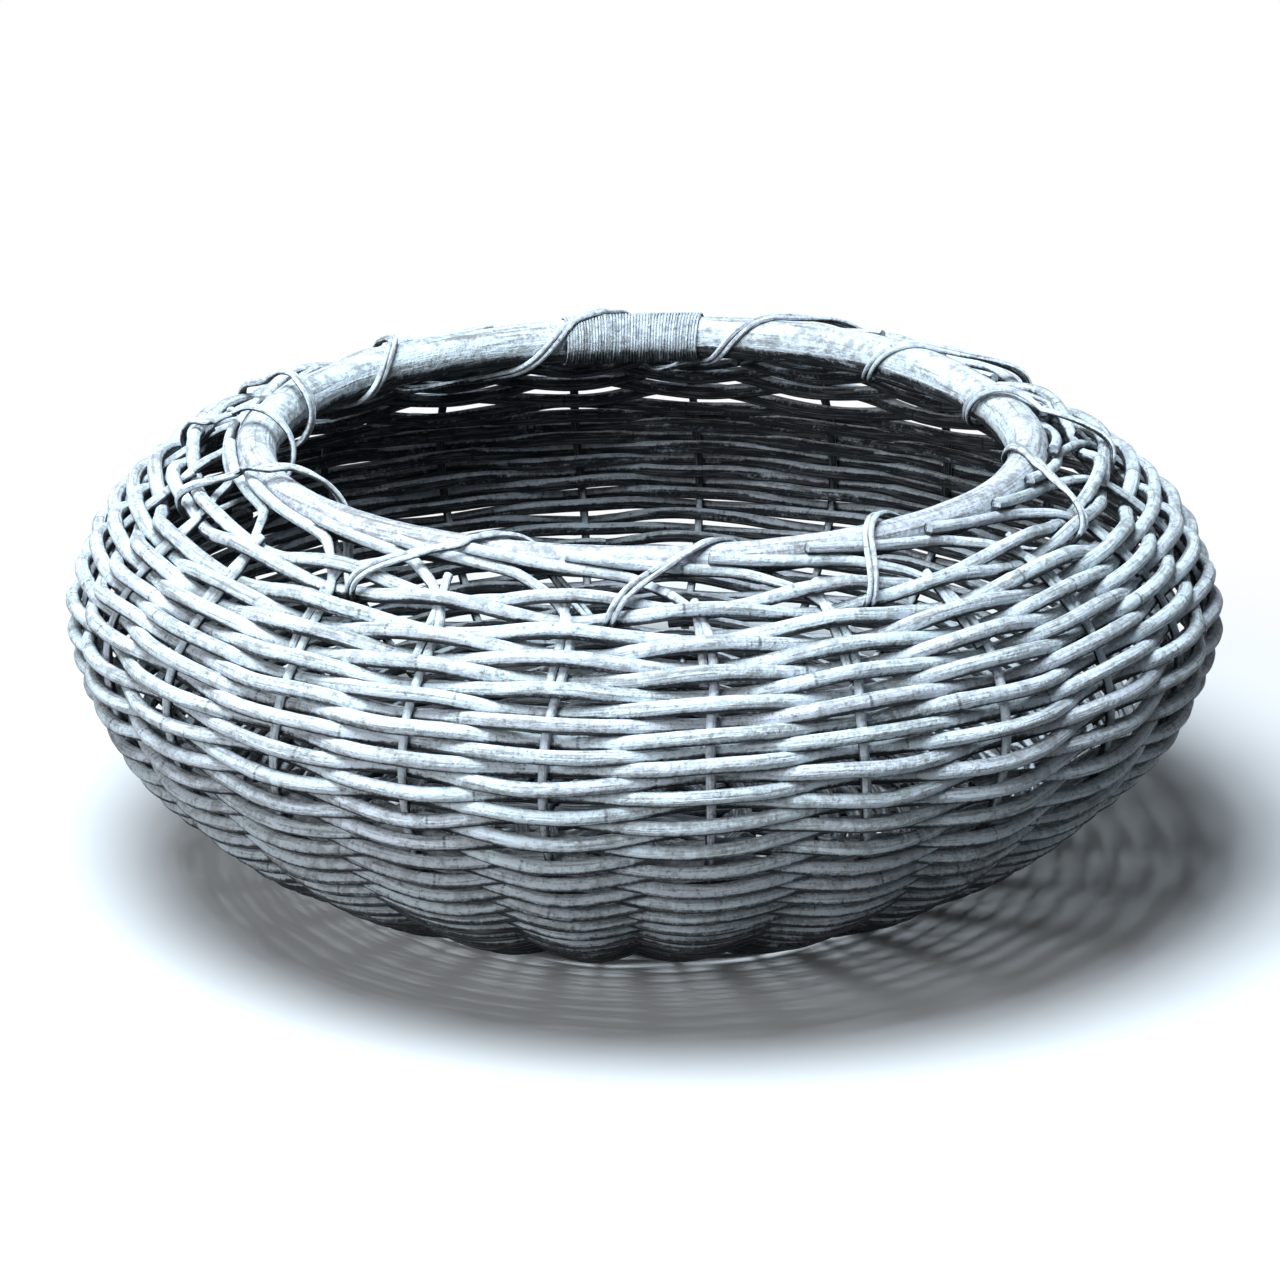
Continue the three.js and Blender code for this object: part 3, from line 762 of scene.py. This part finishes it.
class BASKET_OT_base_rods(BasketOperator, bpy.types.Operator):
    """Lay the twelve rods that cross at the middle of the base and run up both sides as uprights"""

    bl_idname = "basket.base_rods"
    bl_label = "Base rods"

    pair_start = 0.046
    pair_end = 0.070
    spoke_start = 0.080
    lean_begun = 0.20  # spaces that the ends have leant where they come out of the border
    bend_length = 0.012  # of the wall below the border, over which they start to lean
    beside_pole_from = 0.6  # spaces leant by which they lie beside the rim pole
    flank_angles = (-0.60, 0.42)  # where the leaning ends lie round the rim pole, from first to last
    uneven_reach = 0.12
    lean_steps = 40
    thickening = (0.80, 0.88)  # from where to where on the way to its ends a rod gets thicker

    def spoke(self, wall, side, number, layer):
        """Stops from the crossing to where the rods are evenly spread."""
        pitch = wall.canes.rod + wall.laying.clearance
        per_layer = 2 * PAIRS_PER_SIDE
        pair_angle = 2 * BAY
        crossing = pitch / math.cos(pair_angle * (PAIRS_PER_SIDE - 1) / 2)
        pair = math.floor(number / 2 + 0.5)
        pair_side = side + pair * pair_angle
        beside = (number - 2 * pair) * pitch
        stops = []
        for distance, angle, offset, lift in (
            (crossing * per_layer / 2, side, number * crossing, layer * pitch / 2),
            (self.pair_start, pair_side, beside, 0),
            (self.pair_end, pair_side, beside, 0),
        ):
            stop = wall.stop(angle, distance)
            stop.at += Vector((-math.sin(angle) * offset, math.cos(angle) * offset, lift))
            stops.append(stop)
        return stops

    def upright(self, wall, angle):
        """Stops up the wall and along the border, where the end leans to the left beside the rim pole."""
        top = wall.band_along + wall.tail_start
        spacing = 0.004
        count = round((top - wall.rod - self.spoke_start) / spacing)
        stops = []
        for k in range(count + 1):
            along = mix(self.spoke_start, top - wall.rod, k / count)
            begun = self.lean_begun * BAY * ease(share(along, wall.band_along - self.bend_length, top))
            stops.append(wall.stop(angle + wall.step_aside(along) - begun, along))
        aside = wall.step_aside(top)
        reach = wall.laying.border_reach * (1 + self.uneven_reach * math.sin(5.3 * angle))
        for k in range(1, self.lean_steps + 1):
            leant = mix(self.lean_begun, reach, k / self.lean_steps)
            pole_centre, pole = wall.pole_at(angle - leant * BAY)
            flank = pole + wall.rod * wall.laying.tail + wall.laying.clearance
            round_pole = mix(*self.flank_angles, leant / wall.laying.border_reach)
            out = Vector((math.cos(round_pole), math.sin(round_pole)))
            beside_pole = wall.place(angle - leant * BAY, pole_centre + out * flank, out)
            from_wall = wall.stop(angle - leant * BAY + aside / 2, top + wall.laying.clearance)
            gone = ease(share(leant, self.lean_begun, self.beside_pole_from))
            stops.append(from_wall.towards(beside_pole, gone))
        return stops

    def build(self, wall, materials):
        def radius(t):
            return wall.rod * mix(1.0, wall.laying.tail, ease(share(abs(2 * t - 1), *self.thickening)))

        per_layer = 2 * PAIRS_PER_SIDE
        number = 0
        for layer in (-1, 1):
            side = 0 if layer > 0 else math.pi / 2
            for i in range(per_layer):
                number += 1
                place = i - (per_layer - 1) / 2
                near = self.spoke(wall, side, place, layer) + self.upright(wall, side + place * BAY)
                far_side = side + math.pi
                far = self.spoke(wall, far_side, -place, layer)
                far += self.upright(wall, far_side - place * BAY)
                stops = softened(respaced(near[::-1] + far, 0.003), 13)
                route = thickened(stops, radius, 20 + 1.37 * number)
                lay_cane(f"base_rod_{number:02d}", route, 10, "upright_cane", materials)


class BASKET_OT_bye_stakes(BasketOperator, bpy.types.Operator):
    """Set the short stakes that stand beside the uprights in the upper wall"""

    bl_idname = "basket.bye_stakes"
    bl_label = "Bye-stakes"

    steps = 40
    proud_length = 0.006  # by which some stand out of the border
    proud_out = 0.004

    def build(self, wall, materials):
        radius = wall.canes.bye_stake / 2
        start = wall.bye_stake_along
        for i in range(UPRIGHTS):
            proud = max(0.0, math.sin(2.4 * i + 0.7))
            end = wall.band_along + wall.laying.bye_stake_end + self.proud_length * proud
            angle = FIRST_UPRIGHT + i * BAY
            stops = []
            for k in range(self.steps + 1):
                along = mix(start, end, k / self.steps)
                beside = wall.group_half / wall.profile(along).x
                out = self.proud_out * proud * ease(share(along, wall.band_along, end))
                stops.append(wall.stop(angle - beside, along, out))
            route = thickened(stops, lambda t: radius, 50 + 0.61 * i)
            lay_cane(f"bye_stake_{i + 1:02d}", route, 10, "upright_cane", materials)


def strand_range(strand, rounds, groups):
    first = 1 if strand == 0 else groups // 2
    return first, first + 2 * math.floor(rounds * groups / 4 - 0.5)


class BASKET_OT_wall_weavers(BasketOperator, bpy.types.Operator):
    """Weave the wall: two strands chase each other up it, half a turn apart"""

    bl_idname = "basket.wall_weavers"
    bl_label = "Wall weavers"

    def build(self, wall, materials):
        low, high = wall.canes.lower / 2, wall.canes.upper / 2
        for strand, letter in enumerate(STRANDS):
            start, end = strand_range(strand, wall.laying.rows, UPRIGHTS)
            cane_length = 2 * math.floor((end - start) / CANES_PER_STRAND / 2 + 0.5)

            def along(i):
                return wall.row_along(2 * i / UPRIGHTS - strand)

            def radius(i):
                return mix(low, high, share(i, start, end))

            for n in range(CANES_PER_STRAND):
                first = start + n * cane_length
                last = end if n == CANES_PER_STRAND - 1 else first + cane_length
                stops = weave_route(
                    wall, first, last, strand, along, radius, half=wall.stakes_beside, laps=wall.laying.lap
                )
                route = thickened(stops, lambda t: radius(mix(first, last, t)), 3.3 * n + 31 * strand)
                lay_cane(f"wall_weaver_{letter}_{n + 1:02d}", route, 12, "woven_cane", materials)


def lay_round(wall, node, where, strand, first, diameter, half, slot, materials):
    """A cane laid in one round, which meets itself behind an upright."""
    stops = weave_route(
        wall, first + 0.02, first + UPRIGHTS - 0.02, strand, lambda i: where, lambda i: diameter / 2,
        half=lambda along: half,
    )
    route = thickened(stops, lambda t: diameter / 2, 70 + 0.9 * first)
    return lay_cane(node, route, 12, slot, materials)


class BASKET_OT_border_weavers(BasketOperator, bpy.types.Operator):
    """Lay the band of two rounds that closes the weaving"""

    bl_idname = "basket.border_weavers"
    bl_label = "Border weavers"

    def build(self, wall, materials):
        for name, row, strand, first in (("lower", -0.5, 0, 5), ("upper", 0.5, 1, 12)):
            where = wall.band_along + row * wall.laying.band_pitch
            lay_round(
                wall, f"border_weaver_{name}", where, strand, first, wall.canes.band, wall.group_half,
                "woven_cane", materials,
            )


class BASKET_OT_foot_weavers(BasketOperator, bpy.types.Operator):
    """Lay the two thick rounds at the edge of the base, worn flat where they stand"""

    bl_idname = "basket.foot_weavers"
    bl_label = "Foot weavers"

    def build(self, wall, materials):
        pitch = wall.canes.foot + wall.laying.clearance
        for name, row, first in (("inner", 1, 7), ("outer", 0, 18)):
            where = wall.edge_along - row * pitch
            foot = lay_round(
                wall, f"foot_weaver_{name}", where, 1 - row, first, wall.canes.foot, 0.0,
                "base_cane", materials,
            )
            for vertex in foot.data.vertices:
                vertex.co.z = max(vertex.co.z, 0.0)


class BASKET_OT_base_weavers(BasketOperator, bpy.types.Operator):
    """Weave the base: two canes over the pairs of rods near the middle, and two over the single rods"""

    bl_idname = "basket.base_weavers"
    bl_label = "Base weavers"

    def build(self, wall, materials):
        canes, laying = wall.canes, wall.laying
        pitch = laying.base_pitch
        foot = canes.foot + laying.clearance
        base_end = wall.edge_along - foot - canes.foot / 2 - laying.clearance - canes.base / 2
        rods = BASKET_OT_base_rods
        pair_half = (canes.rod + laying.clearance) / 2
        zones = (
            ("inner", rods.pair_start, rods.pair_end, UPRIGHTS // 2, pair_half),
            ("outer", rods.spoke_start, base_end, UPRIGHTS, 0.0),
        )
        for name, start, end, groups, half in zones:
            for strand, letter in enumerate(STRANDS):
                first, last = strand_range(strand, (end - start) / pitch, groups)
                stops = weave_route(
                    wall, first, last, strand,
                    lambda i: start + pitch * (2 * i / groups - strand),
                    lambda i: canes.base / 2, groups, lambda along: half,
                )
                route = thickened(stops, lambda t: canes.base / 2, 90 + 5 * strand + start)
                lay_cane(f"base_weaver_{name}_{letter}", route, 10, "base_cane", materials)


# The rim

WHIPPING_START = 5.3
WHIPPING_END = 6.8
JOINT_ANGLE = (WHIPPING_START + WHIPPING_END) / 2 * BAY
POLE_FACING = Vector((-0.1, 1.0)).normalized()
POLE_WASH = 0.004


class BASKET_OT_rim_pole(BasketOperator, bpy.types.Operator):
    """Bend the thick rim pole round to its scarf joint"""

    bl_idname = "basket.rim_pole"
    bl_label = "Rim pole"

    def build(self, wall, materials):
        count = 360
        stops = []
        radii = []
        for k in range(count):
            angle = JOINT_ANGLE + 2 * math.pi * k / count
            x, y = math.cos(angle), math.sin(angle)
            centre, radius = wall.pole_at(angle)
            stops.append(wall.place(angle, centre, POLE_FACING, POLE_WASH))
            growth = 0.05 * noise.noise(Vector((4 * x, 4 * y, 2.2)))
            growth += 0.03 * noise.noise(Vector((15 * x, 15 * y, 6.4)))
            radii.append(radius * (0.985 + growth))
        pole = draw_cane("rim_pole_cane", (stops, radii, 0.0), 28, closed=True)
        self.cut_scarf(wall, pole)
        place_piece(pole, "rim_pole", "rim_pole", materials)

    def cut_scarf(self, wall, pole):
        """Saws the pole through on the slant, under the whipping."""
        kerf = 0.0006
        slant = math.atan(wall.canes.pole / wall.shape.scarf_length)
        bpy.ops.object.select_all(action="DESELECT")
        bpy.ops.mesh.primitive_cube_add(size=1.0)
        saw = bpy.context.object
        size = Matrix.Diagonal((3 * wall.shape.scarf_length, kerf, 3 * wall.canes.pole, 1.0))
        place = Matrix.Translation(wall.bent(turned(JOINT_ANGLE, wall.pole_centre)))
        saw.data.transform(place @ Matrix.Rotation(slant + JOINT_ANGLE + math.pi / 2, 4, "Z") @ size)
        bpy.context.view_layer.objects.active = pole
        cut = pole.modifiers.new("scarf", "BOOLEAN")
        cut.operation = "DIFFERENCE"
        cut.object = saw
        bpy.ops.object.modifier_apply(modifier=cut.name)
        bpy.data.objects.remove(saw)


class BASKET_OT_joint_whipping(BasketOperator, bpy.types.Operator):
    """Wind fine cane round the rim pole's joint"""

    bl_idname = "basket.joint_whipping"
    bl_label = "Joint whipping"

    def build(self, wall, materials):
        radius = wall.canes.whipping / 2
        reach = wall.whipping_reach - radius
        per_turn = 18
        pitch = wall.canes.whipping * 1.06 / (1 - reach / wall.shape.rim_radius)
        arc = (WHIPPING_END - WHIPPING_START) * BAY * wall.shape.rim_radius
        turns = math.floor(arc / pitch)
        stops = []
        for k in range(turns * per_turn + 1):
            turn = k / per_turn
            angle = JOINT_ANGLE + (turn - turns / 2) * pitch / wall.shape.rim_radius
            out = Vector((math.cos(2 * math.pi * turn), math.sin(2 * math.pi * turn)))
            slack = reach + 0.0002 * noise.noise(Vector((turn * 0.8, 4 * out.x, 4 * out.y)))
            stops.append(wall.place(angle, wall.pole_centre + out * slack, POLE_FACING, POLE_WASH))
        route = thickened(stops, lambda t: radius, 130, variation=0.12)
        lay_cane("joint_whipping", route, 8, "binding_cane", materials)


def outline_of(points):
    """The outline of points in the profile's plane, anticlockwise."""
    ordered = sorted(points, key=lambda p: (p.x, p.y))

    def chain(listed):
        kept = []
        for p in listed:
            while len(kept) > 1 and (kept[-1] - kept[-2]).cross(p - kept[-1]) <= 1e-12:
                kept.pop()
            kept.append(p)
        return kept[:-1]

    return chain(ordered) + chain(ordered[::-1])


def circle(centre, radius, sides):
    turns = [2 * math.pi * i / sides for i in range(sides)]
    return [centre + Vector((radius * math.cos(t), radius * math.sin(t))) for t in turns]


class BASKET_OT_rim_lashings(BasketOperator, bpy.types.Operator):
    """Wind the two lashing canes round the rim pole, the uprights' ends and the border"""

    bl_idname = "basket.rim_lashings"
    bl_label = "Rim lashings"

    gap = 0.0003
    pole_sides = 72
    cane_sides = 40
    # Inside the wall this darkens the lashings, partly as painted shade; over the top of the pole it lightens
    # them, partly as painted light.
    washed = 0.006  # counted as if it lay this far outside the wall, or inside it below the pole
    bound = (
        "rim_pole", "joint_whipping", "border_weaver_lower", "border_weaver_upper",
        "wall_weaver_a_05", "wall_weaver_a_06", "wall_weaver_b_05", "wall_weaver_b_06",
    )

    def belt(self, wall, hole, rise, drop):
        """A turn's path in the profile's plane, from inside the doorway, out and over the pole, and down.
        With it, where the path is out of the doorway, at the top and at its last touch of the pole."""
        lashing = wall.canes.lashing / 2
        band = wall.canes.band / 2
        raised = hole + 2 * rise > WHIPPING_START and hole < WHIPPING_END
        pole_centre, pole = wall.pole_at((hole + rise) * BAY)
        points = circle(pole_centre, (wall.whipping_reach if raised else pole) + lashing, self.pole_sides)
        points += circle(wall.border, wall.rod + lashing, self.cane_sides)
        rounds = 2 + round(drop / wall.laying.band_pitch)
        for k in range(rounds):
            along = wall.band_along + wall.laying.band_pitch / 2
            along -= (wall.laying.band_pitch + drop) * k / (rounds - 1)
            swing = wall.swing(band, along, UPRIGHTS, wall.group_half)
            for out in (-swing, swing):
                p, _ = wall.section(along, out)
                points += circle(p, band + lashing, self.cane_sides)
        outline = outline_of(points)
        _, facing = wall.section(wall.band_along - wall.doorway - drop)
        up_wall = Vector((-facing.y, facing.x))
        lowest = min(p.dot(up_wall) for p in outline) + wall.laying.clearance
        corners = sorted((p for p in outline if p.dot(up_wall) < lowest), key=lambda p: p.dot(facing))
        inner = outline.index(corners[0])
        path = outline[inner:] + outline[:inner]
        outer = path.index(corners[-1])
        top = max(range(len(path)), key=lambda i: path[i].y)
        last = max(i for i, p in enumerate(path) if (p - pole_centre).length < 2 * pole)
        return path, outer, top, last

    def run(self, wall, points, angles, offs, washes, late=1.0):
        """Stops along the points after the first, while angle, stand-off and wash go from one to the other.
        The angle goes late if late is more than 1, and early if it is less."""
        reached = [0.0, *accumulate((b - a).length for a, b in zip(points, points[1:]))]
        centre = wall.pole_centre.lerp(wall.profile(wall.band_along), 0.5)
        stops = []
        for p, gone in zip(points[1:], reached[1:]):
            t = gone / reached[-1]
            facing = (p - centre).normalized()
            stop = wall.place(mix(*angles, t ** late) * BAY, p, facing, mix(*washes, t))
            stop.off = mix(*offs, ease(t))
            stops.append(stop)
        return stops

    def line(self, wall):
        """The middle line of the two lashing canes."""
        belts = [self.belt(wall, hole, rise, drop) for hole, rise, _, drop in LASHING_TURNS]
        washed = self.washed
        stops = []
        for n, (hole, rise, off, _) in enumerate(LASHING_TURNS):
            path, outer, top, last = belts[n]
            stops += self.run(wall, path[:outer + 1], (hole, hole), (0.0, 0.0), (-washed, 0.0))
            up = path[outer:top + 1]
            stops += self.run(wall, up, (hole, hole + rise), (0.0, off), (0.0, washed), late=1.5)
            down = path[top:last + 1]
            goal = hole + 2 * rise
            if n + 1 < len(LASHING_TURNS):
                next_path, _, _, next_last = belts[n + 1]
                down = down + next_path[next_last + 1:] + next_path[:1]
                goal = LASHING_TURNS[n + 1][0]
            stops += self.run(wall, down, (hole + rise, goal), (off, 0.0), (washed, -washed), late=0.7)
        return softened(respaced(stops, 0.002), 6)

    def build(self, wall, materials):
        line = self.line(wall)
        ends = [f"base_rod_{number:02d}" for number in range(1, 4 * PAIRS_PER_SIDE + 1)]
        surface = surface_of([*self.bound, *ends])
        radius = wall.canes.lashing / 2
        for strand, letter in enumerate(STRANDS):
            aside = (strand - 0.5) * (wall.canes.lashing + self.gap)
            stops = []
            for i, stop in enumerate(line):
                ahead = line[min(i + 1, len(line) - 1)].at
                behind = line[max(i - 1, 0)].at
                across = (ahead - behind).cross(stop.facing).normalized()
                stops.append(stop.moved(stop.at + across * aside))
            stops = softened(drawn_tight(stops, radius, surface, 20), 3)
            route = thickened(stops, lambda t: radius, 150 + 17 * strand)
            lay_cane(f"rim_lashing_{letter}", route, 10, "binding_cane", materials)


# The stage

WHITE = (1.0, 1.0, 1.0, 1.0)


class BASKET_OT_stage(bpy.types.Operator):
    """Set the floor, the lights and the camera"""

    bl_idname = "basket.stage"
    bl_label = "Stage"

    floor_seen = (0.80, 0.81, 0.82)
    floor_below = (0.14, 0.14, 0.14)  # as it lights the basket from below
    fade = (0.34, 0.66)  # distances at which the floor starts to fade to white and is white
    sky_colour = (0.86, 0.93, 1.0, 1.0)
    sky_strength = 0.12

    def execute(self, context):
        self.lay_floor()
        self.light_world(context.scene)
        self.hang_lamps()
        self.set_camera(context.scene)
        context.scene.view_settings.view_transform = "Standard"
        return {"FINISHED"}

    def lay_floor(self):
        """A plain floor, which the camera sees pale, and which fades to white."""
        bpy.ops.object.select_all(action="DESELECT")
        bpy.ops.mesh.primitive_circle_add(vertices=96, radius=9.0, fill_type="NGON", location=(0, 0, -0.0002))
        floor = bpy.context.object
        floor.name = "floor"
        material = bpy.data.materials.new("pale_floor")
        recipe = Recipe(material)
        seen = recipe.seen()
        place = recipe.node("SeparateXYZ", vector=recipe.out(recipe.node("TexCoord"), "Object"))
        x, y = recipe.out(place, "X"), recipe.out(place, "Y")
        far = recipe.between(recipe.maths("SQRT", x * x + y * y), *self.fade)
        ground = recipe.blend(self.floor_below, self.floor_seen, seen)
        plain = recipe.node("BsdfDiffuse", color=ground)
        glow = recipe.node("Emission", color=WHITE, strength=1.0)
        recipe.node("OutputMaterial", surface=recipe.mixed(plain, glow, far * seen))
        floor.data.materials.append(material)

    def light_world(self, scene):
        scene.world = bpy.data.worlds.new("studio")
        recipe = Recipe(scene.world)
        soft = recipe.node("Background", color=self.sky_colour, strength=self.sky_strength)
        white = recipe.node("Background", color=WHITE, strength=1.0)
        recipe.node("OutputWorld", surface=recipe.mixed(soft, white, recipe.seen()))

    def hang_lamps(self):
        target = Vector((0, 0, 0.12))
        for name, place, size, power, colour in (
            ("sky", (-0.5, -0.7, 2.5), 1.6, 114.0, (0.82, 0.92, 1.0)),
            ("window", (-1.8, -2.0, 1.1), 1.2, 32.0, (0.96, 0.98, 1.0)),
        ):
            bpy.ops.object.light_add(type="AREA", location=place)
            lamp = bpy.context.object
            lamp.name = name
            lamp.rotation_euler = (target - Vector(place)).to_track_quat("-Z", "Y").to_euler()
            lamp.data.shape = "DISK"
            lamp.data.size = size
            lamp.data.energy = power
            lamp.data.color = colour

    def set_camera(self, scene):
        distance, elevation = 2.55, math.asin(0.3355)
        aim = Vector((0.0020, 0.0009, 0.1226))
        centre = Vector((0, 0, 0.12))
        place = centre + distance * Vector((0, -math.cos(elevation), math.sin(elevation)))
        bpy.ops.object.camera_add(location=place)
        camera = bpy.context.object
        camera.rotation_euler = (aim - place).to_track_quat("-Z", "Y").to_euler()
        camera.data.sensor_width = 36.0
        camera.data.lens = 134.3
        camera.data.clip_start = 0.01
        scene.camera = camera


OPERATORS = (
    BASKET_OT_base_rods,
    BASKET_OT_bye_stakes,
    BASKET_OT_wall_weavers,
    BASKET_OT_border_weavers,
    BASKET_OT_foot_weavers,
    BASKET_OT_base_weavers,
    BASKET_OT_rim_pole,
    BASKET_OT_joint_whipping,
    BASKET_OT_rim_lashings,
    BASKET_OT_stage,
)


def plain(name):
    return name.replace("_", " ").capitalize()


class BASKET_PT_panel(bpy.types.Panel):
    """The basket's settings and the operators that weave it"""

    bl_label = "Rattan Basket"
    bl_idname = "BASKET_PT_panel"
    bl_space_type = "VIEW_3D"
    bl_region_type = "UI"
    bl_category = "Basket"

    def draw(self, context):
        for group in GROUPS:
            box = self.layout.box()
            box.label(text=plain(group))
            settings = getattr(context.scene, group)
            for name in settings.__annotations__:
                box.prop(settings, name, text=plain(name))
        for operator in OPERATORS:
            self.layout.operator(operator.bl_idname)


def register():
    for made in (*GROUPS.values(), *OPERATORS, BASKET_PT_panel):
        bpy.utils.register_class(made)
    for name, group in GROUPS.items():
        setattr(bpy.types.Scene, name, bpy.props.PointerProperty(type=group))


def unregister():
    for name in GROUPS:
        delattr(bpy.types.Scene, name)
    for made in (BASKET_PT_panel, *reversed(OPERATORS), *reversed(GROUPS.values())):
        bpy.utils.unregister_class(made)


def main():
    register()
    for operator in OPERATORS:
        group, name = operator.bl_idname.split(".")
        getattr(getattr(bpy.ops, group), name)()


if __name__ == "__main__":
    main()
